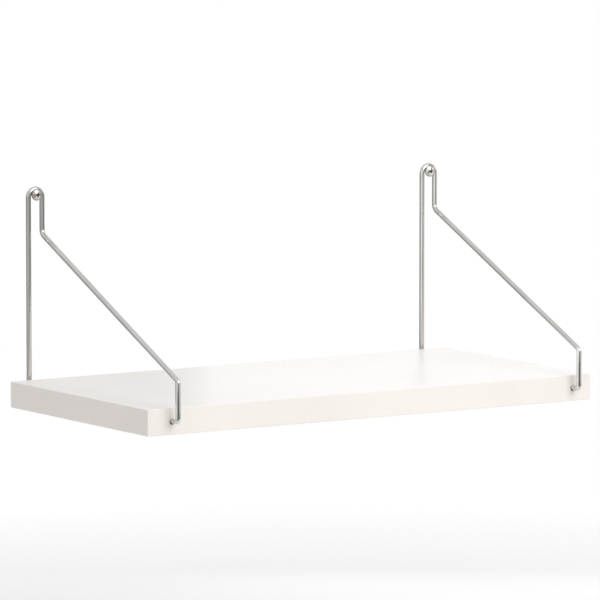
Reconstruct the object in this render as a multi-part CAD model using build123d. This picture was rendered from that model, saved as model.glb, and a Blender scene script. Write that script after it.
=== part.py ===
from build123d import *
import os

# Wall shelf: a white board carried by two bent steel rods, each held to the wall by one screw.
# Millimetres. +X runs along the board, +Y points into the wall, +Z is up.
# The origin lies on the wall's surface, midway between the two wall screws.

# ---- driving dimensions ----
BOARD_LENGTH = 600.0
BOARD_DEPTH = 300.0
BOARD_THICKNESS = 30.0
BOARD_EDGE_RADIUS = 1.0
LAMINATE_THICKNESS = 0.8
EDGE_BAND_THICKNESS = 2.0

ROD_DIAMETER = 6.0
BEND_RADIUS = 4.0             # centre line, at the hooks and at the foot of the slanting run
UPPER_BEND_RADIUS = 8.0       # centre line, where the rod leaves the wall
HAIRPIN_WIDTH = 18.0          # between the centre lines of its two legs
LOOP_HEIGHT = 221.0           # board's top to the top of the hairpin
UPPER_BEND_HEIGHT = 166.0     # board's top to the bend where the rod leaves the wall
LOWER_BEND_HEIGHT = 31.0      # board's top to the bend in front of the board
STAND_OFF = 12.0              # board's front or back face to the centre line of the upright leg
LEFT_PIN_INSET = 32.0         # board's left end to the left bracket's pins
RIGHT_PIN_INSET = 25.0        # board's right end to the right bracket's pins
PIN_DEPTH = 15.0              # how far each pin goes into the board
PIN_CHAMFER = 0.6
PIN_HOLE_DIAMETER = 7.0
PIN_HOLE_DEPTH = 17.0
SEAT_GAP = 0.05               # left where one piece rests on another

SCREW_HEAD_DIAMETER = 14.0
SCREW_HEAD_RIM = 0.8
SCREW_HEAD_HEIGHT = 3.4
SCREW_NECK_DIAMETER = 6.0     # plain shoulder, from the head to the wall's surface
SCREW_THREAD_DIAMETER = 5.0   # over the thread's crests
SCREW_LENGTH = 21
SCREW_POINT_LENGTH = 5
RECESS_WIDTH = 1.5
RECESS_LENGTH = 6.4
RECESS_DEPTH = 2.4

# ---- derived places ----
ROD_RADIUS = ROD_DIAMETER / 2
HAIRPIN_RADIUS = HAIRPIN_WIDTH / 2
NECK_RADIUS = SCREW_NECK_DIAMETER / 2
THREAD_RADIUS = SCREW_THREAD_DIAMETER / 2

# the neck lies just under the top of the loop's inside
LOOP_CENTRE_Z = -(HAIRPIN_RADIUS - ROD_RADIUS - NECK_RADIUS - SEAT_GAP)
LOOP_TOP_Z = LOOP_CENTRE_Z + HAIRPIN_RADIUS + ROD_RADIUS
BOARD_TOP_Z = LOOP_TOP_Z - LOOP_HEIGHT
BOARD_MIDDLE_Z = BOARD_TOP_Z - BOARD_THICKNESS / 2

# the board hangs on the pins, so each pin touches the top of its hole
PIN_Z = BOARD_MIDDLE_Z + PIN_HOLE_DIAMETER / 2 - ROD_RADIUS - SEAT_GAP

WALL_LEG_Y = -ROD_RADIUS
BOARD_BACK_Y = WALL_LEG_Y - STAND_OFF
BOARD_FRONT_Y = BOARD_BACK_Y - BOARD_DEPTH
FRONT_LEG_Y = BOARD_FRONT_Y - STAND_OFF

SCREW_SPACING = BOARD_LENGTH - LEFT_PIN_INSET - RIGHT_PIN_INSET
LEFT_PIN_X = -SCREW_SPACING / 2 - HAIRPIN_RADIUS
RIGHT_PIN_X = SCREW_SPACING / 2 - HAIRPIN_RADIUS
BOARD_LEFT_X = LEFT_PIN_X - LEFT_PIN_INSET
BOARD_MIDDLE = Vector(
    BOARD_LEFT_X + BOARD_LENGTH / 2,
    BOARD_BACK_Y - BOARD_DEPTH / 2,
    BOARD_MIDDLE_Z,
)


def slab(size_x, size_y, size_z, offset=(0, 0, 0)):
    """A box about the board's middle, moved by offset."""
    return Pos(*(BOARD_MIDDLE + Vector(*offset))) * Box(size_x, size_y, size_z)


def pin_holes():
    """Blind holes for the four pins, drilled from the board's front and back faces."""
    holes = []
    for pin_x in (LEFT_PIN_X, RIGHT_PIN_X):
        for face_y, inward in ((BOARD_FRONT_Y, 1), (BOARD_BACK_Y, -1)):
            centre = (pin_x, face_y + inward * PIN_HOLE_DEPTH / 2, BOARD_MIDDLE_Z)
            hole = Rot(90, 0, 0) * Cylinder(PIN_HOLE_DIAMETER / 2, PIN_HOLE_DEPTH)
            holes.append(Pos(*centre) * hole)
    return holes


# ---- board: core, two laminates and four edge bands ----
def build_board():
    """The seven pieces of the board, cut from one blank with softened edges."""
    blank = slab(BOARD_LENGTH, BOARD_DEPTH, BOARD_THICKNESS)
    blank = fillet(blank.edges(), BOARD_EDGE_RADIUS)
    inner_length = BOARD_LENGTH - 2 * EDGE_BAND_THICKNESS
    inner_depth = BOARD_DEPTH - 2 * EDGE_BAND_THICKNESS
    core_height = BOARD_THICKNESS - 2 * LAMINATE_THICKNESS
    band_y = (BOARD_DEPTH - EDGE_BAND_THICKNESS) / 2
    band_x = (BOARD_LENGTH - EDGE_BAND_THICKNESS) / 2
    laminate_z = (BOARD_THICKNESS - LAMINATE_THICKNESS) / 2
    long_band = (BOARD_LENGTH, EDGE_BAND_THICKNESS, BOARD_THICKNESS)
    short_band = (EDGE_BAND_THICKNESS, inner_depth, BOARD_THICKNESS)
    laminate = (inner_length, inner_depth, LAMINATE_THICKNESS)

    holes = pin_holes()
    return {
        "board_core": slab(inner_length, inner_depth, core_height) - holes,
        "top_laminate": slab(*laminate, offset=(0, 0, laminate_z)),
        "bottom_laminate": slab(*laminate, offset=(0, 0, -laminate_z)),
        "front_edge_band": (blank & slab(*long_band, offset=(0, -band_y, 0))) - holes,
        "back_edge_band": (blank & slab(*long_band, offset=(0, band_y, 0))) - holes,
        "left_edge_band": blank & slab(*short_band, offset=(-band_x, 0, 0)),
        "right_edge_band": blank & slab(*short_band, offset=(band_x, 0, 0)),
    }


# ---- bracket: one bent rod ----
def build_bracket(pin_x):
    """Rear pin, wall leg, hairpin, short leg, slanting run, front leg and front pin."""
    short_leg_x = pin_x + HAIRPIN_WIDTH
    hairpin_start = (pin_x, WALL_LEG_Y, LOOP_CENTRE_Z)
    hairpin_top = (pin_x + HAIRPIN_RADIUS, WALL_LEG_Y, LOOP_CENTRE_Z + HAIRPIN_RADIUS)
    hairpin_end = (short_leg_x, WALL_LEG_Y, LOOP_CENTRE_Z)
    wall_side = FilletPolyline(
        (pin_x, BOARD_BACK_Y - PIN_DEPTH, PIN_Z),
        (pin_x, WALL_LEG_Y, PIN_Z),
        hairpin_start,
        radius=BEND_RADIUS,
    )
    hairpin = ThreePointArc(hairpin_start, hairpin_top, hairpin_end)
    upper_bend = Vector(short_leg_x, WALL_LEG_Y, BOARD_TOP_Z + UPPER_BEND_HEIGHT)
    lower_bend = Vector(pin_x, FRONT_LEG_Y, BOARD_TOP_Z + LOWER_BEND_HEIGHT)
    halfway = (upper_bend + lower_bend) / 2
    upper_run = FilletPolyline(hairpin_end, upper_bend, halfway, radius=UPPER_BEND_RADIUS)
    lower_run = FilletPolyline(
        halfway,
        lower_bend,
        (pin_x, FRONT_LEG_Y, PIN_Z),
        (pin_x, BOARD_FRONT_Y + PIN_DEPTH, PIN_Z),
        radius=BEND_RADIUS,
    )
    route = wall_side + hairpin + upper_run + lower_run
    section = Plane(origin=route @ 0, z_dir=route % 0) * Circle(ROD_RADIUS)
    rod = sweep(section, path=route)
    pin_ends = rod.faces().filter_by(GeomType.PLANE)
    rod = chamfer(pin_ends.edges(), PIN_CHAMFER)
    return rod


# ---- wall screw: domed head with a cross recess, plain neck, thread and point ----
def build_screw(screw_x):
    """One screw on the line through screw_x, with its head against the front of the rod."""
    seat_y = -ROD_DIAMETER - SEAT_GAP
    tip_y = seat_y + SCREW_LENGTH
    rim_y = seat_y - SCREW_HEAD_RIM
    top_y = seat_y - SCREW_HEAD_HEIGHT
    head_radius = SCREW_HEAD_DIAMETER / 2
    cap_height = SCREW_HEAD_HEIGHT - SCREW_HEAD_RIM
    dome_radius = (head_radius**2 + cap_height**2) / (2 * cap_height)
    outline = Polyline(
        (0, top_y),
        (0, tip_y),
        (THREAD_RADIUS, tip_y - SCREW_POINT_LENGTH),
        (THREAD_RADIUS, 0),
        (NECK_RADIUS, 0),
        (NECK_RADIUS, seat_y),
        (head_radius, seat_y),
        (head_radius, rim_y),
    )
    dome = RadiusArc((head_radius, rim_y), (0, top_y), dome_radius)
    profile = make_face(outline + dome)
    screw = revolve(profile, axis=Axis.Y)
    for turn in (0, 90):
        slot = Box(RECESS_LENGTH, 2 * RECESS_DEPTH, RECESS_WIDTH)
        screw -= Pos(0, top_y, 0) * Rot(0, turn, 0) * slot
    return Pos(screw_x, 0, 0) * screw


parts = build_board()
for side, pin_x in (("left", LEFT_PIN_X), ("right", RIGHT_PIN_X)):
    parts[f"{side}_bracket"] = build_bracket(pin_x)
    parts[f"{side}_wall_screw"] = build_screw(pin_x + HAIRPIN_RADIUS)

os.makedirs("parts", exist_ok=True)
for node, shape in parts.items():
    export_step(shape, f"parts/{node}.step")
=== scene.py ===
import math

import bmesh
import bpy
from mathutils import Matrix, Vector


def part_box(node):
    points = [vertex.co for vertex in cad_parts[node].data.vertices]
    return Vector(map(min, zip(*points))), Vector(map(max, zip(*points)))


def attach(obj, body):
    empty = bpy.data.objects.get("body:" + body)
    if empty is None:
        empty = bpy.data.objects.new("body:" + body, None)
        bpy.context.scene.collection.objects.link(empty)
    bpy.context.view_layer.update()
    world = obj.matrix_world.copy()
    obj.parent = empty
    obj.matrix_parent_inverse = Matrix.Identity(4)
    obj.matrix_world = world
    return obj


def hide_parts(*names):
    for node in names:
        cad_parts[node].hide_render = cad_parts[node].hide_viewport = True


# Wall shelf: a white board carried by two bent steel rods, each held to the wall by one screw.
# Metres, in the frame of the CAD model: +X along the board, +Y into the wall, +Z up.

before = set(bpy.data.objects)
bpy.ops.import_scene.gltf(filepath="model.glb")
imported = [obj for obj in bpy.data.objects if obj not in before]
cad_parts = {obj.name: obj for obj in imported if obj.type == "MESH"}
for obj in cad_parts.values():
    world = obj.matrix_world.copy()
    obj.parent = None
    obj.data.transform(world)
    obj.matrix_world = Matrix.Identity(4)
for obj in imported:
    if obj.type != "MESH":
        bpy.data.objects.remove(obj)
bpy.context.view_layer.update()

# ---- driving dimensions, as in the CAD model ----
ROD_RADIUS = 0.003
BEND_RADIUS = 0.004
UPPER_BEND_RADIUS = 0.008
UPPER_BEND_HEIGHT = 0.166     # board's top to the bend where the rod leaves the wall
LOWER_BEND_HEIGHT = 0.031     # board's top to the bend in front of the board
PIN_DEPTH = 0.015
PIN_CHAMFER = 0.0006
SEAT_GAP = 0.00005
HEAD_HEIGHT = 0.0034
HEAD_RIM = 0.0008
NECK_RADIUS = 0.003
THREAD_RADIUS = 0.0025
POINT_LENGTH = 0.005
RECESS_LENGTH = 0.0064
RECESS_WIDTH = 0.0015
RECESS_DEPTH = 0.0024

# ---- finish of the shapes ----
ROD_SIDES = 48
ARC_STEP = math.radians(4)
SAME_POINT = 1e-6
BEND_FLATTENING = 0.05        # share of the rod's thickness lost in the plane of a tight bend
LATHE_SIDES = 96
DOME_SHARE = 0.92             # of the way to the head's rim, before the dome rolls over into it
DOME_STEPS = 22
EDGE_STEPS = 6
EDGE_ROUND = 0.0003
EDGE_ROLL = 0.0001            # how far above the rim the dome's roll-over aims
THREAD_PITCH = 0.0022
THREAD_ROOT_RADIUS = 0.0017
THREAD_HALF_WIDTH = 0.3       # of the pitch
THREAD_RUN_IN = 0.002
THREAD_ROWS = 10              # to one pitch
SHOULDER_STEP = 0.0001
SCREW_SHARP_ANGLE = math.radians(32)
SEAM_WIDTH = 0.00012          # softened edges where the board's skins meet
SEAM_SEGMENTS = 2
SEAM_ANGLE = math.radians(50)

# ---- the recess, from its mouth down to its point, in shares of its depth, length and width ----
RECESS_OVERSHOOT = 0.001
RECESS_MOUTH = (1.06, 1.1)
RECESS_FLOOR = (0.85, 0.5, 0.62)
RECESS_POINT = (1.0, 0.2, 0.45)
RECESS_MARK = -1              # v of the recess's UVs; elsewhere v is 0 or more

# ---- where the screw's rim is painted dark as shade, as lengths along its outline from the top of the head ----
RIM_DARKENS = (0.0054, 0.0067)
RIM_ENDS = (0.0115, 0.012)

# ---- colours ----
STEEL_DEEP = (0.62, 0.61, 0.59, 1)
STEEL_PALE = (0.70, 0.69, 0.675, 1)
STEEL_DULL = (0.52, 0.505, 0.48, 1)
PLATING_DEEP = (0.60, 0.56, 0.51, 1)
PLATING_PALE = (0.70, 0.68, 0.65, 1)
# painted shade inside the screw's cross recess
RECESS_PAINTED_SHADE = (0.10, 0.095, 0.09, 1)
# painted shade round the rim under the screw's head
RIM_PAINTED_SHADE = (0.13, 0.115, 0.10, 1)
MELAMINE = ((0.90, 0.868, 0.843, 1), (0.95, 0.916, 0.89, 1))
EDGING = ((0.88, 0.834, 0.79, 1), (0.94, 0.892, 0.845, 1))
CHIP_DARK = (0.33, 0.21, 0.11, 1)
CHIP_PALE = (0.66, 0.50, 0.33, 1)
WOOD_DUST = (0.74, 0.62, 0.45, 1)
FLOOR_TONES = ((0.90, 0.90, 0.90, 1), (0.94, 0.94, 0.94, 1))
CARD_TONES = ((0.10, 0.10, 0.10, 1), (0.15, 0.148, 0.145, 1))

BOARD_NODES = {
    "board_core": "core",
    "top_laminate": "laminate",
    "bottom_laminate": "laminate",
    "front_edge_band": "edge_band",
    "back_edge_band": "edge_band",
    "left_edge_band": "edge_band",
    "right_edge_band": "edge_band",
}


def smoothstep(t):
    t = min(1.0, max(0.0, t))
    return t * t * (3 - 2 * t)


# ---- mesh helpers ----
def mesh_object(name, bm, sharp_angle=35):
    """A smooth-shaded object from a bmesh, with edges sharper than sharp_angle kept crisp."""
    mesh = bpy.data.meshes.new(name)
    bm.normal_update()
    bm.to_mesh(mesh)
    bm.free()
    mesh.shade_smooth()
    mesh.set_sharp_from_angle(angle=math.radians(sharp_angle))
    piece = bpy.data.objects.new(name, mesh)
    bpy.context.scene.collection.objects.link(piece)
    return piece


def skin_rings(bm, rings, lengths):
    """Quads between rings of points, with UVs: u once round, v the length along the piece."""
    uv = bm.loops.layers.uv.new("UVMap")
    rows = [[bm.verts.new(point) for point in ring] for ring in rings]
    sides = len(rings[0])
    for row, (lower, upper) in enumerate(zip(rows, rows[1:])):
        for side in range(sides):
            after = (side + 1) % sides
            face = bm.faces.new((lower[side], lower[after], upper[after], upper[side]))
            around = (side / sides, (side + 1) / sides)
            along = (lengths[row], lengths[row + 1])
            corners = ((0, 0), (1, 0), (1, 1), (0, 1))
            for loop, (u, v) in zip(face.loops, corners):
                loop[uv].uv = (around[u], along[v])
    return rows


def close_ring(bm, row, middle, flip):
    """A fan of triangles from a ring of vertices to a point in its middle."""
    tip = bm.verts.new(middle)
    sides = len(row)
    for side in range(sides):
        pair = (row[side], row[(side + 1) % sides])
        if flip:
            pair = pair[::-1]
        bm.faces.new((pair[0], pair[1], tip))


# ---- brackets: one bent rod each ----
def bracket_corners(node):
    """Corners of a rod's centre line with their bend radii, from the boxes of the CAD nodes."""
    low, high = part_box(node)
    board_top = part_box("top_laminate")[1].z
    front_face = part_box("front_edge_band")[0].y
    back_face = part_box("back_edge_band")[1].y
    pin_x = low.x + ROD_RADIUS
    short_leg_x = high.x - ROD_RADIUS
    wall_y = high.y - ROD_RADIUS
    front_y = low.y + ROD_RADIUS
    pin_z = low.z + ROD_RADIUS
    loop_z = high.z - ROD_RADIUS
    hairpin_radius = (short_leg_x - pin_x) / 2
    return [
        (Vector((pin_x, back_face - PIN_DEPTH, pin_z)), 0),
        (Vector((pin_x, wall_y, pin_z)), BEND_RADIUS),
        (Vector((pin_x, wall_y, loop_z)), hairpin_radius),
        (Vector((short_leg_x, wall_y, loop_z)), hairpin_radius),
        (Vector((short_leg_x, wall_y, board_top + UPPER_BEND_HEIGHT)), UPPER_BEND_RADIUS),
        (Vector((pin_x, front_y, board_top + LOWER_BEND_HEIGHT)), BEND_RADIUS),
        (Vector((pin_x, front_y, pin_z)), BEND_RADIUS),
        (Vector((pin_x, front_face + PIN_DEPTH, pin_z)), 0),
    ]


def bend_points(before, corner, after, radius):
    """Points round one bend, each with how tightly it is bent there and the bend's inward way."""
    into = (corner - before).normalized()
    out = (after - corner).normalized()
    turn = into.angle(out)
    start = corner - into * radius * math.tan(turn / 2)
    inward = (out - into * into.dot(out)).normalized()
    centre = start + inward * radius
    steps = max(2, round(turn / ARC_STEP))
    tightness = min(1.0, BEND_RADIUS / radius)
    points = []
    for step in range(steps + 1):
        angle = turn * step / steps
        point = centre - inward * radius * math.cos(angle) + into * radius * math.sin(angle)
        toward_centre = inward * math.cos(angle) - into * math.sin(angle)
        points.append((point, tightness * math.sin(math.pi * step / steps), toward_centre))
    return points


def rod_line(corners):
    """The rod's whole centre line, with the straight ends of its pins."""
    line = [(corners[0][0], 0.0, None)]
    for (before, _), (corner, radius), (after, _) in zip(corners, corners[1:], corners[2:]):
        line += bend_points(before, corner, after, radius)
    line.append((corners[-1][0], 0.0, None))
    distinct = [line[0]]
    for entry in line[1:]:
        if (entry[0] - distinct[-1][0]).length > SAME_POINT:
            distinct.append(entry)
    return distinct


def build_bracket(node):
    """A round rod swept along its line without twist, and chamfered at both ends."""
    line = rod_line(bracket_corners(node))
    points = [entry[0] for entry in line]
    first = (points[1] - points[0]).normalized()
    last = (points[-1] - points[-2]).normalized()
    stations = [(points[0], 0.0, None, ROD_RADIUS - PIN_CHAMFER)]
    stations.append((points[0] + first * PIN_CHAMFER, 0.0, None, ROD_RADIUS))
    stations += [(point, tight, inward, ROD_RADIUS) for point, tight, inward in line[1:-1]]
    stations.append((points[-1] - last * PIN_CHAMFER, 0.0, None, ROD_RADIUS))
    stations.append((points[-1], 0.0, None, ROD_RADIUS - PIN_CHAMFER))

    rings, lengths = [], []
    along = 0.0
    heading = first
    side = first.orthogonal().normalized()
    for index, (point, tight, inward, radius) in enumerate(stations):
        previous = stations[max(0, index - 1)][0]
        following = stations[min(len(stations) - 1, index + 1)][0]
        new_heading = (following - previous).normalized()
        side = heading.rotation_difference(new_heading) @ side
        heading = new_heading
        across = heading.cross(side)
        along += (point - previous).length
        ring = []
        for step in range(ROD_SIDES):
            angle = 2 * math.pi * step / ROD_SIDES
            offset = (side * math.cos(angle) + across * math.sin(angle)) * radius
            if inward is not None:
                offset -= inward * offset.dot(inward) * BEND_FLATTENING * tight
            ring.append(point + offset)
        rings.append(ring)
        lengths.append(along)

    bm = bmesh.new()
    rows = skin_rings(bm, rings, lengths)
    close_ring(bm, rows[0], points[0], flip=True)
    close_ring(bm, rows[-1], points[-1], flip=False)
    return mesh_object(f"{node}_rod", bm)


# ---- wall screws ----
def head_outline(head_radius):
    """Radius and height above the seat, from the top of the dome down to the neck."""
    cap = HEAD_HEIGHT - HEAD_RIM
    dome_radius = (head_radius**2 + cap**2) / (2 * cap)
    dome_centre = HEAD_HEIGHT - dome_radius
    dome_end = math.asin(head_radius / dome_radius) * DOME_SHARE
    outline = []
    for step in range(1, DOME_STEPS + 1):
        angle = dome_end * step / DOME_STEPS
        height = dome_centre + dome_radius * math.cos(angle)
        outline.append((dome_radius * math.sin(angle), height))
    roll = (outline[-1], (head_radius, HEAD_RIM + EDGE_ROLL), (head_radius, EDGE_ROUND))
    for step in range(1, EDGE_STEPS + 1):
        t = step / EDGE_STEPS
        weights = ((1 - t) ** 2, 2 * t * (1 - t), t**2)
        outline.append(tuple(sum(w * p[i] for w, p in zip(weights, roll)) for i in (0, 1)))
    for step in range(1, EDGE_STEPS + 1):
        angle = math.pi / 2 * step / EDGE_STEPS
        radius = head_radius - EDGE_ROUND * (1 - math.cos(angle))
        outline.append((radius, EDGE_ROUND * (1 - math.sin(angle))))
    outline.append((NECK_RADIUS + EDGE_ROUND, 0.0))
    outline.append((NECK_RADIUS, -EDGE_ROUND))
    return outline


def thread_radius(depth, angle, length):
    """Radius of the threaded stretch, depth past the wall's surface, at one angle round it."""
    phase = (depth / THREAD_PITCH - angle / (2 * math.pi)) % 1.0
    ridge = max(0.0, 1 - abs(phase - 0.5) / THREAD_HALF_WIDTH)
    run_in = smoothstep(depth / THREAD_RUN_IN)
    taper = min(1.0, (length - depth) / POINT_LENGTH)
    return taper * (THREAD_ROOT_RADIUS + (THREAD_RADIUS - THREAD_ROOT_RADIUS) * ridge * run_in)


def recess_cutter(top):
    """A tapering cross with a short point, reaching down into the head from above its top."""
    half_length, half_width = RECESS_LENGTH / 2, RECESS_WIDTH / 2
    levels = [(RECESS_OVERSHOOT, half_length * RECESS_MOUTH[0], half_width * RECESS_MOUTH[1])]
    for depth, length, width in (RECESS_FLOOR, RECESS_POINT):
        levels.append((-RECESS_DEPTH * depth, half_length * length, half_width * width))
    bm = bmesh.new()
    rows = []
    for rise, reach, half in levels:
        row = []
        for quarter in range(4):
            turn = Matrix.Rotation(-math.pi / 2 * quarter, 3, "Y")
            for x, z in ((reach, -half), (reach, half), (half, half)):
                row.append(bm.verts.new(turn @ Vector((x, 0, z)) + Vector((0, -top - rise, 0))))
        rows.append(row)
    for row, (upper, lower) in enumerate(zip(rows, rows[1:])):
        for side in range(len(upper)):
            after = (side + 1) % len(upper)
            bm.faces.new((upper[side], upper[after], lower[after], lower[side]))
    bm.faces.new(rows[0])
    bm.faces.new(rows[-1])
    bmesh.ops.triangulate(bm, faces=bm.faces[:])
    bmesh.ops.recalc_face_normals(bm, faces=bm.faces[:])
    uv = bm.loops.layers.uv.new("UVMap")
    for face in bm.faces:
        for loop in face.loops:
            loop[uv].uv = (0, RECESS_MARK)
    return mesh_object("recess_cutter", bm)


def build_screw(node, bracket):
    """Domed head with a cross recess, plain neck, wood thread and point."""
    low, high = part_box(node)
    centre = Vector(((low.x + high.x) / 2, 0, (low.z + high.z) / 2))
    seat_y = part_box(bracket)[1].y - 2 * ROD_RADIUS - SEAT_GAP
    wall_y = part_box(bracket)[1].y
    outline = head_outline((high.x - low.x) / 2)
    tip_y = high.y
    length = tip_y - wall_y

    rings, lengths = [], []
    along = 0.0
    for radius, height in outline:
        rings.append([(radius, seat_y - height)] * LATHE_SIDES)
    rings.append([(NECK_RADIUS, wall_y - EDGE_ROUND)] * LATHE_SIDES)
    rings.append([(NECK_RADIUS - EDGE_ROUND, wall_y)] * LATHE_SIDES)
    rings.append([(THREAD_ROOT_RADIUS, wall_y + SHOULDER_STEP)] * LATHE_SIDES)
    thread_rows = round(length / THREAD_PITCH * THREAD_ROWS)
    for row in range(1, thread_rows):
        depth = length * row / thread_rows
        ring = []
        for side in range(LATHE_SIDES):
            angle = 2 * math.pi * side / LATHE_SIDES
            ring.append((thread_radius(depth, angle, length), wall_y + depth))
        rings.append(ring)
    placed = []
    for index, ring in enumerate(rings):
        points = []
        for side, (radius, y) in enumerate(ring):
            angle = 2 * math.pi * side / LATHE_SIDES
            points.append(Vector((radius * math.sin(angle), y, radius * math.cos(angle))) + centre)
        if placed:
            along += (points[0] - placed[-1][0]).length
        placed.append(points)
        lengths.append(along)

    bm = bmesh.new()
    rows = skin_rings(bm, placed, lengths)
    close_ring(bm, rows[0], centre + Vector((0, seat_y - HEAD_HEIGHT, 0)), flip=True)
    close_ring(bm, rows[-1], centre + Vector((0, tip_y, 0)), flip=False)
    bmesh.ops.recalc_face_normals(bm, faces=bm.faces[:])
    screw = mesh_object(f"{node}_body", bm)

    cutter = recess_cutter(HEAD_HEIGHT - seat_y)
    cutter.location = centre
    recess = screw.modifiers.new("recess", "BOOLEAN")
    recess.operation = "DIFFERENCE"
    recess.solver = "EXACT"
    recess.object = cutter
    apply_modifiers(screw)
    bpy.data.objects.remove(cutter)
    screw.data.shade_smooth()
    screw.data.set_sharp_from_angle(angle=SCREW_SHARP_ANGLE)
    return screw


def apply_modifiers(piece):
    """Replaces a piece's mesh by its evaluated one and clears its modifiers."""
    bpy.context.view_layer.update()
    depsgraph = bpy.context.evaluated_depsgraph_get()
    mesh = bpy.data.meshes.new_from_object(piece.evaluated_get(depsgraph))
    piece.modifiers.clear()
    piece.data = mesh


# ---- material nodes ----
class Nodes:
    """Adds nodes to one tree: a socket given as a value is linked, anything else is set."""

    def __init__(self, tree):
        self.tree = tree
        self.tree.nodes.clear()

    def add(self, kind, values=None, **settings):
        node = self.tree.nodes.new(kind)
        for name, value in settings.items():
            setattr(node, name, value)
        for key, value in (values or {}).items():
            self.put(node.inputs[key], value)
        return node

    def put(self, socket, value):
        if isinstance(value, bpy.types.NodeSocket):
            self.tree.links.new(value, socket)
        else:
            socket.default_value = value

    def math(self, operation, *values):
        return self.add("ShaderNodeMath", dict(enumerate(values)), operation=operation).outputs[0]

    def mix(self, factor, first, second):
        """Mixes two colours."""
        node = self.add("ShaderNodeMix", data_type="RGBA")
        self.put(node.inputs["Factor"], factor)
        self.put(node.inputs[6], first)
        self.put(node.inputs[7], second)
        return node.outputs[2]

    def span(self, value, low, high, to_low, to_high):
        """Maps the range low..high on to to_low..to_high, held at its ends."""
        values = {"Value": value, 1: low, 2: high, 3: to_low, 4: to_high}
        return self.add("ShaderNodeMapRange", values).outputs[0]

    def noise(self, vector, scale, detail=2.0, roughness=0.5):
        values = {"Vector": vector, "Scale": scale, "Detail": detail, "Roughness": roughness}
        return self.add("ShaderNodeTexNoise", values).outputs["Fac"]

    def stretch(self, vector, scale):
        return self.add("ShaderNodeMapping", {"Vector": vector, "Scale": scale}).outputs[0]

    def bump(self, height, distance, strength=1.0):
        values = {"Height": height, "Distance": distance, "Strength": strength}
        return self.add("ShaderNodeBump", values).outputs[0]


def new_material(name):
    """An empty node material with its shader."""
    material = bpy.data.materials.new(name)
    material.use_nodes = True
    nodes = Nodes(material.node_tree)
    shader = nodes.add("ShaderNodeBsdfPrincipled")
    nodes.add("ShaderNodeOutputMaterial", {"Surface": shader.outputs["BSDF"]})
    return material, nodes, shader


def set_shader(nodes, shader, **values):
    for name, value in values.items():
        nodes.put(shader.inputs[name.replace("_", " ")], value)


def round_the_rod(nodes, turns_scale, length_scale):
    """A seamless coordinate on a swept or turned piece: its angle as a circle, and its length."""
    uv = nodes.add("ShaderNodeUVMap", uv_map="UVMap").outputs[0]
    parts = nodes.add("ShaderNodeSeparateXYZ", {0: uv})
    angle = nodes.math("MULTIPLY", parts.outputs["X"], 2 * math.pi)
    x = nodes.math("MULTIPLY", nodes.math("COSINE", angle), turns_scale)
    y = nodes.math("MULTIPLY", nodes.math("SINE", angle), turns_scale)
    z = nodes.math("MULTIPLY", parts.outputs["Y"], length_scale)
    return nodes.add("ShaderNodeCombineXYZ", {0: x, 1: y, 2: z}).outputs[0]


def rod_material():
    """Polished stainless wire: fine drawing lines along it, clouding and a few dull patches."""
    material, nodes, shader = new_material("polished_steel_rod")
    lines = nodes.noise(round_the_rod(nodes, 9.0, 6.0), 2.0, detail=3.0)
    clouds = nodes.noise(round_the_rod(nodes, 0.6, 30.0), 1.0, detail=2.0)
    patches = nodes.noise(round_the_rod(nodes, 1.2, 90.0), 1.0, detail=3.0, roughness=0.6)
    tone = nodes.mix(nodes.span(clouds, 0.3, 0.7, 0.0, 1.0), STEEL_DEEP, STEEL_PALE)
    dull = nodes.span(patches, 0.58, 0.78, 0.0, 0.3)
    tone = nodes.mix(dull, tone, STEEL_DULL)
    polish = nodes.span(lines, 0.3, 0.7, 0.12, 0.17)
    roughness = nodes.math("ADD", polish, nodes.math("MULTIPLY", dull, 0.15))
    set_shader(nodes, shader, Base_Color=tone, Metallic=1.0, Roughness=roughness)
    set_shader(nodes, shader, Normal=nodes.bump(lines, 0.000004, 0.3))
    return material


def screw_material():
    """Bright nickel plating, a little warmer than the rod, mottled, with painted shade darkening
    its rim and recess.
    """
    material, nodes, shader = new_material("bright_plated_screw")
    place = nodes.add("ShaderNodeTexCoord").outputs["Object"]
    clouds = nodes.noise(place, 260.0, detail=3.0)
    specks = nodes.noise(place, 2600.0, detail=2.0)
    tone = nodes.mix(nodes.span(clouds, 0.35, 0.65, 0.0, 1.0), PLATING_DEEP, PLATING_PALE)
    uv = nodes.add("ShaderNodeUVMap", uv_map="UVMap").outputs[0]
    along = nodes.add("ShaderNodeSeparateXYZ", {0: uv}).outputs["Y"]
    # painted shade: the cross recess is coloured near black, for the shade that falls inside it
    recess = nodes.span(along, -0.5, -0.1, 1.0, 0.0)
    tone = nodes.mix(nodes.math("MULTIPLY", recess, 0.8), tone, RECESS_PAINTED_SHADE)
    # painted shade: a band round the head's rim is darkened, for the shadow gap between the head
    # and the rod
    edge = nodes.span(along, *RIM_DARKENS, 0.0, 1.0)
    rim = nodes.math("MULTIPLY", edge, nodes.span(along, *RIM_ENDS, 1.0, 0.0))
    tone = nodes.mix(nodes.math("MULTIPLY", rim, 0.75), tone, RIM_PAINTED_SHADE)
    polish = nodes.span(clouds, 0.3, 0.7, 0.12, 0.2)
    roughness = nodes.math("ADD", polish, nodes.math("MULTIPLY", recess, 0.2))
    set_shader(nodes, shader, Base_Color=tone, Metallic=1.0, Roughness=roughness)
    set_shader(nodes, shader, Normal=nodes.bump(specks, 0.00002, 0.3))
    return material


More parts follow.
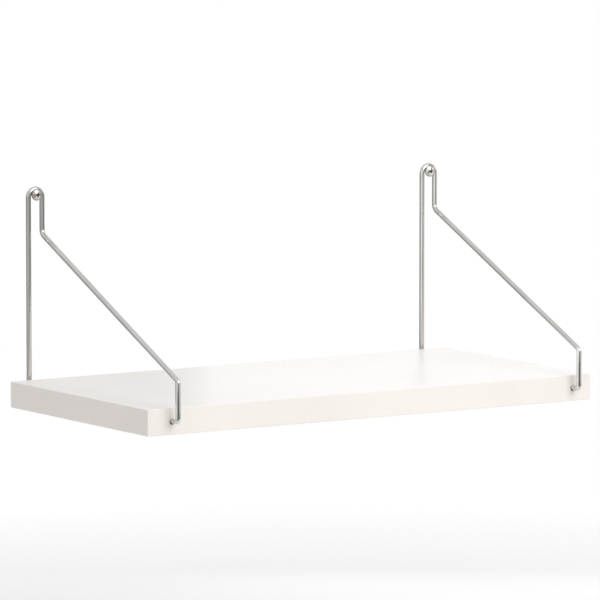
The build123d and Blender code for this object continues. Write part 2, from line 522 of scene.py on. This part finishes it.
def board_skin(name, tones, roughness, grain_scale, grain_depth):
    """White board surface: fine pebbled grain under the gloss and faint clouding of tone."""
    material, nodes, shader = new_material(name)
    place = nodes.add("ShaderNodeTexCoord").outputs["Object"]
    clouds = nodes.noise(place, 7.0, detail=3.0)
    flecks = nodes.noise(nodes.stretch(place, (1.0, 1.6, 1.6)), 240.0, detail=3.0)
    grain = nodes.noise(place, grain_scale, detail=2.0)
    wave = nodes.noise(place, 30.0, detail=1.0)
    slow = nodes.span(clouds, 0.35, 0.65, 0.0, 0.7)
    quick = nodes.span(flecks, 0.4, 0.7, 0.0, 0.3)
    tone = nodes.mix(nodes.math("ADD", slow, quick), *tones)
    sheen = nodes.span(grain, 0.3, 0.7, roughness - 0.04, roughness + 0.05)
    set_shader(nodes, shader, Base_Color=tone, Roughness=sheen, IOR=1.5)
    fine = nodes.bump(grain, grain_depth)
    both = {"Height": wave, "Distance": 0.00012, "Normal": fine}
    set_shader(nodes, shader, Normal=nodes.add("ShaderNodeBump", both).outputs[0])
    return material


def core_material():
    """Particle board: pale and dark chips pressed together, seen in the drilled holes."""
    material, nodes, shader = new_material("particle_board")
    place = nodes.add("ShaderNodeTexCoord").outputs["Object"]
    flat = nodes.stretch(place, (1.0, 1.0, 2.4))
    chips = nodes.add("ShaderNodeTexVoronoi", {"Vector": flat, "Scale": 480.0})
    shade = nodes.add("ShaderNodeSeparateColor", {0: chips.outputs["Color"]}).outputs[0]
    dust = nodes.noise(place, 2400.0, detail=3.0)
    tone = nodes.mix(shade, CHIP_DARK, CHIP_PALE)
    tone = nodes.mix(nodes.span(dust, 0.4, 0.7, 0.0, 0.5), tone, WOOD_DUST)
    set_shader(nodes, shader, Base_Color=tone, Roughness=0.85)
    height = nodes.math("ADD", chips.outputs["Distance"], nodes.math("MULTIPLY", dust, 0.6))
    set_shader(nodes, shader, Normal=nodes.bump(height, 0.0003))
    return material


def floor_material(radius):
    """Pale floor that fades out towards its rim, and is clear from underneath."""
    material = bpy.data.materials.new("pale_floor")
    material.use_nodes = True
    nodes = Nodes(material.node_tree)
    place = nodes.add("ShaderNodeTexCoord").outputs["Object"]
    distance = nodes.add("ShaderNodeVectorMath", {0: place}, operation="LENGTH").outputs["Value"]
    solid = nodes.span(distance, radius * 0.45, radius * 0.98, 1.0, 0.0)
    under = nodes.add("ShaderNodeNewGeometry").outputs["Backfacing"]
    solid = nodes.math("MULTIPLY", solid, nodes.math("SUBTRACT", 1.0, under))
    mottle = nodes.noise(place, 6.0, detail=2.0)
    tone = nodes.mix(mottle, *FLOOR_TONES)
    matt = nodes.add("ShaderNodeBsdfDiffuse", {"Color": tone}).outputs[0]
    clear = nodes.add("ShaderNodeBsdfTransparent").outputs[0]
    surface = nodes.add("ShaderNodeMixShader", {0: solid, 1: clear, 2: matt}).outputs[0]
    nodes.add("ShaderNodeOutputMaterial", {"Surface": surface})
    return material


# ---- studio ----
CAMERA_AZIMUTH = math.radians(32.885)
CAMERA_ELEVATION = math.radians(6.448)
CAMERA_DISTANCE = 7.293
CAMERA_LENS = 381.36
AIM_ALONG = -0.0027           # from the board's middle, along the board
AIM_ABOVE = 0.0898            # above the board's top
FLOOR_DROP = 0.35
FLOOR_RADIUS = 1.6
KEY_AZIMUTH = math.radians(14)
KEY_ELEVATION = math.radians(35)
KEY_DISTANCE = 2.6
METAL_KEY_DISTANCE = 2.58     # a little nearer, so that the two panels don't coincide
KEY_SIZE = (1.7, 1.7)
KEY_POWER = 31
BACK_DISTANCE = 1.0
BACK_LEFT_EDGE = -0.13       # sideways from the aim point, as the camera sees it
BACK_SIZE = (0.9, 0.7)
BACK_POWER = 0.95
LEFT_GLOW_AZIMUTH = math.radians(-45)
LEFT_GLOW_DISTANCE = 0.33
LEFT_GLOW_SIZE = (0.42, 0.5)
LEFT_GLOW_POWER = 0.35
SIDE_GLOW_AZIMUTH = math.radians(65)
SIDE_GLOW_DISTANCE = 0.4
SIDE_GLOW_SIZE = (0.5, 0.5)
SIDE_GLOW_POWER = 0.4
LEG_GLOW_AZIMUTHS = (math.radians(-82), math.radians(48))
LEG_GLOW_DISTANCE = 0.15
LEG_GLOW_SIZE = (0.13, 0.07)
LEG_GLOW_POWER = 0.013
CARD_AZIMUTH = math.radians(-27)
CARD_DISTANCE = 0.27
CARD_SIZE = (0.24, 0.36)
CARD_TOP = 0.002              # above the board's top
ROOM_STRENGTH = 0.865
LOW_RING = (
    (-180, 0.30),
    (-130, 0.45),
    (-93, 0.66),
    (-60, 0.62),
    (-30, 0.66),
    (-8, 0.50),
    (15, 0.30),
    (35, 0.28),
    (60, 0.42),
    (100, 0.46),
    (140, 0.40),
    (180, 0.30),
)
HIGH_RING = ((-180, 0.75), (-90, 0.85), (-33, 0.8), (30, 0.72), (90, 0.8), (147, 0.7), (180, 0.7))


def look_from(azimuth, elevation):
    """Unit vector from the object towards a viewer; azimuth 0 is straight in front."""
    level = math.cos(elevation)
    return Vector((math.sin(azimuth) * level, -math.cos(azimuth) * level, math.sin(elevation)))


def add_camera(aim):
    data = bpy.data.cameras.new("camera")
    data.sensor_width = 36
    data.lens = CAMERA_LENS
    data.clip_end = 100
    camera = bpy.data.objects.new("camera", data)
    back = look_from(-CAMERA_AZIMUTH, CAMERA_ELEVATION)
    camera.location = aim + back * CAMERA_DISTANCE
    camera.rotation_euler = (-back).to_track_quat("-Z", "Y").to_euler()
    bpy.context.scene.collection.objects.link(camera)
    bpy.context.scene.camera = camera


def add_panel(name, place, aim, size, power, only_on=None, shine=True):
    """A soft light facing the aim point, unseen by the camera.

    only_on limits what it lights, and without shine it isn't mirrored in gloss.
    """
    data = bpy.data.lights.new(name, "AREA")
    data.shape = "RECTANGLE"
    data.size, data.size_y = size
    data.energy = power
    panel = bpy.data.objects.new(name, data)
    panel.location = place
    panel.rotation_euler = (aim - place).to_track_quat("-Z", "Y").to_euler()
    panel.visible_camera = False
    panel.visible_glossy = shine
    panel.light_linking.receiver_collection = only_on
    bpy.context.scene.collection.objects.link(panel)


def group(name, pieces):
    """A collection that a panel's light can be limited to."""
    collection = bpy.data.collections.new(name)
    for piece in pieces:
        collection.objects.link(piece)
    return collection


def ring_of_light(nodes, way, brightness):
    """Brightness by compass direction: pairs of angle from straight in front and value."""
    parts = nodes.add("ShaderNodeSeparateXYZ", {0: way})
    backward = nodes.math("MULTIPLY", parts.outputs["Y"], -1.0)
    angle = nodes.math("ARCTAN2", parts.outputs["X"], backward)
    ramp = nodes.add("ShaderNodeValToRGB", {0: nodes.span(angle, -math.pi, math.pi, 0.0, 1.0)})
    stops = ramp.color_ramp.elements
    while len(stops) < len(brightness):
        stops.new(0.5)
    for stop, (degrees, value) in zip(stops, brightness):
        stop.position = degrees / 360 + 0.5
        stop.color = (value, value, value, 1)
    return ramp.outputs["Color"], parts.outputs["Z"]


def card_material():
    """Dark cloth, a little mottled."""
    material = bpy.data.materials.new("black_card")
    material.use_nodes = True
    nodes = Nodes(material.node_tree)
    weave = nodes.noise(nodes.add("ShaderNodeTexCoord").outputs["Object"], 90.0)
    tone = nodes.mix(weave, *CARD_TONES)
    cloth = nodes.add("ShaderNodeBsdfDiffuse", {"Color": tone}).outputs[0]
    nodes.add("ShaderNodeOutputMaterial", {"Surface": cloth})
    return material


def add_card(name, place, facing, material):
    """A dark upright card that only shows in reflections."""
    half_width, half_height = CARD_SIZE[0] / 2, CARD_SIZE[1] / 2
    bm = bmesh.new()
    outline = ((-1, -1), (1, -1), (1, 1), (-1, 1))
    bm.faces.new([bm.verts.new((x * half_width, y * half_height, 0)) for x, y in outline])
    card = mesh_object(name, bm)
    card.location = place
    card.rotation_euler = facing.to_track_quat("Z", "Y").to_euler()
    card.visible_camera = False
    card.visible_diffuse = False
    card.visible_shadow = False
    card.data.materials.append(material)


def add_world():
    """White for the camera; for light and reflections, a dim room below a bright one."""
    world = bpy.data.worlds.new("studio")
    world.use_nodes = True
    bpy.context.scene.world = world
    nodes = Nodes(world.node_tree)
    way = nodes.add("ShaderNodeTexCoord").outputs["Generated"]
    low, rise = ring_of_light(nodes, way, LOW_RING)
    upper, _ = ring_of_light(nodes, way, HIGH_RING)
    lit = nodes.mix(nodes.span(rise, -0.04, 0.08, 0.0, 1.0), low, upper)
    lit = nodes.mix(nodes.span(rise, 0.3, 0.9, 0.0, 1.0), lit, (1.0, 1.0, 1.0, 1))
    room = nodes.add("ShaderNodeBackground", {"Color": lit, "Strength": ROOM_STRENGTH}).outputs[0]
    plain = nodes.add("ShaderNodeBackground", {"Color": (1, 1, 1, 1), "Strength": 1.0}).outputs[0]
    seen = nodes.add("ShaderNodeLightPath").outputs["Is Camera Ray"]
    both = nodes.add("ShaderNodeMixShader", {0: seen, 1: room, 2: plain}).outputs[0]
    nodes.add("ShaderNodeOutputWorld", {"Surface": both})


def add_floor(centre):
    bm = bmesh.new()
    bmesh.ops.create_circle(bm, cap_ends=True, segments=96, radius=FLOOR_RADIUS)
    floor = mesh_object("floor", bm)
    floor.location = centre
    floor.data.materials.append(floor_material(FLOOR_RADIUS))


# ---- put together ----
def dress_board():
    """The board keeps its CAD nodes, with softened seams and their own skins."""
    skins = {
        "core": core_material(),
        "laminate": board_skin("white_melamine", MELAMINE, 0.29, 1100.0, 0.000012),
        "edge_band": board_skin("white_edge_band", EDGING, 0.42, 1700.0, 0.00002),
    }
    for node, slot in BOARD_NODES.items():
        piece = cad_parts[node]
        piece.data.materials.clear()
        piece.data.materials.append(skins[slot])
        weld = piece.modifiers.new("weld", "WELD")
        weld.merge_threshold = SAME_POINT
        soften = piece.modifiers.new("soften", "BEVEL")
        soften.width = SEAM_WIDTH
        soften.segments = SEAM_SEGMENTS
        soften.limit_method = "ANGLE"
        soften.angle_limit = SEAM_ANGLE
        even = piece.modifiers.new("even", "WEIGHTED_NORMAL")
        even.weight = 100


def dress_brackets():
    """A swept rod and a turned screw for each bracket, riding together; all four are returned."""
    metal_pieces = []
    steel = rod_material()
    plating = screw_material()
    for side in ("left", "right"):
        body = f"{side}_bracket"
        screw_node = f"{side}_wall_screw"
        rod = build_bracket(body)
        rod.data.materials.append(steel)
        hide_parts(body)
        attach(rod, body)
        screw = build_screw(screw_node, body)
        screw.data.materials.clear()
        screw.data.materials.append(plating)
        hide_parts(screw_node)
        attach(screw, body)
        metal_pieces += [rod, screw]
    return metal_pieces


dress_board()
metal_pieces = dress_brackets()

board_low, board_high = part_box("board_core")
middle = (board_low + board_high) / 2
board_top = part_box("top_laminate")[1].z
board_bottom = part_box("bottom_laminate")[0].z
aim = Vector((middle.x + AIM_ALONG, middle.y, board_top + AIM_ABOVE))
add_camera(aim)
add_world()
add_floor(Vector((middle.x, middle.y, board_bottom - FLOOR_DROP)))
key_place = aim + look_from(KEY_AZIMUTH, KEY_ELEVATION) * KEY_DISTANCE
add_panel("key", key_place, aim, KEY_SIZE, KEY_POWER, shine=False)
away = -look_from(-CAMERA_AZIMUTH, 0)
across = Vector((math.cos(CAMERA_AZIMUTH), -math.sin(CAMERA_AZIMUTH), 0))
back_place = aim + away * BACK_DISTANCE + across * (BACK_LEFT_EDGE + BACK_SIZE[0] / 2)
add_panel("back", back_place, back_place - away, BACK_SIZE, BACK_POWER)
metal = group("metal", metal_pieces)
metal_key_place = aim + look_from(KEY_AZIMUTH, KEY_ELEVATION) * METAL_KEY_DISTANCE
add_panel("metal_key", metal_key_place, aim, KEY_SIZE, KEY_POWER, metal)
right_metal = group("right_metal", metal_pieces[2:])
right_low, right_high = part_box("right_bracket")
rod_middle = Vector((right_low.x + ROD_RADIUS, right_high.y, (right_low.z + right_high.z) / 2))
glow_place = rod_middle + look_from(LEFT_GLOW_AZIMUTH, 0) * LEFT_GLOW_DISTANCE
add_panel("left_glow", glow_place, rod_middle, LEFT_GLOW_SIZE, LEFT_GLOW_POWER, right_metal)
glow_place = rod_middle + look_from(SIDE_GLOW_AZIMUTH, 0) * SIDE_GLOW_DISTANCE
add_panel("side_glow", glow_place, rod_middle, SIDE_GLOW_SIZE, SIDE_GLOW_POWER, right_metal)
dark_cloth = card_material()
toward_card = look_from(CARD_AZIMUTH, 0)
for bracket in ("left_bracket", "right_bracket"):
    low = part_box(bracket)[0]
    leg = Vector((low.x + ROD_RADIUS, low.y + ROD_RADIUS, board_top))
    card_place = leg + toward_card * CARD_DISTANCE
    card_place.z += CARD_TOP - CARD_SIZE[1] / 2
    add_card(f"{bracket}_card", card_place, -toward_card, dark_cloth)
    for azimuth in LEG_GLOW_AZIMUTHS:
        glow_place = leg + look_from(azimuth, 0) * LEG_GLOW_DISTANCE
        add_panel("leg_glow", glow_place, leg, LEG_GLOW_SIZE, LEG_GLOW_POWER, metal)

scene = bpy.context.scene
scene.view_settings.view_transform = "Standard"
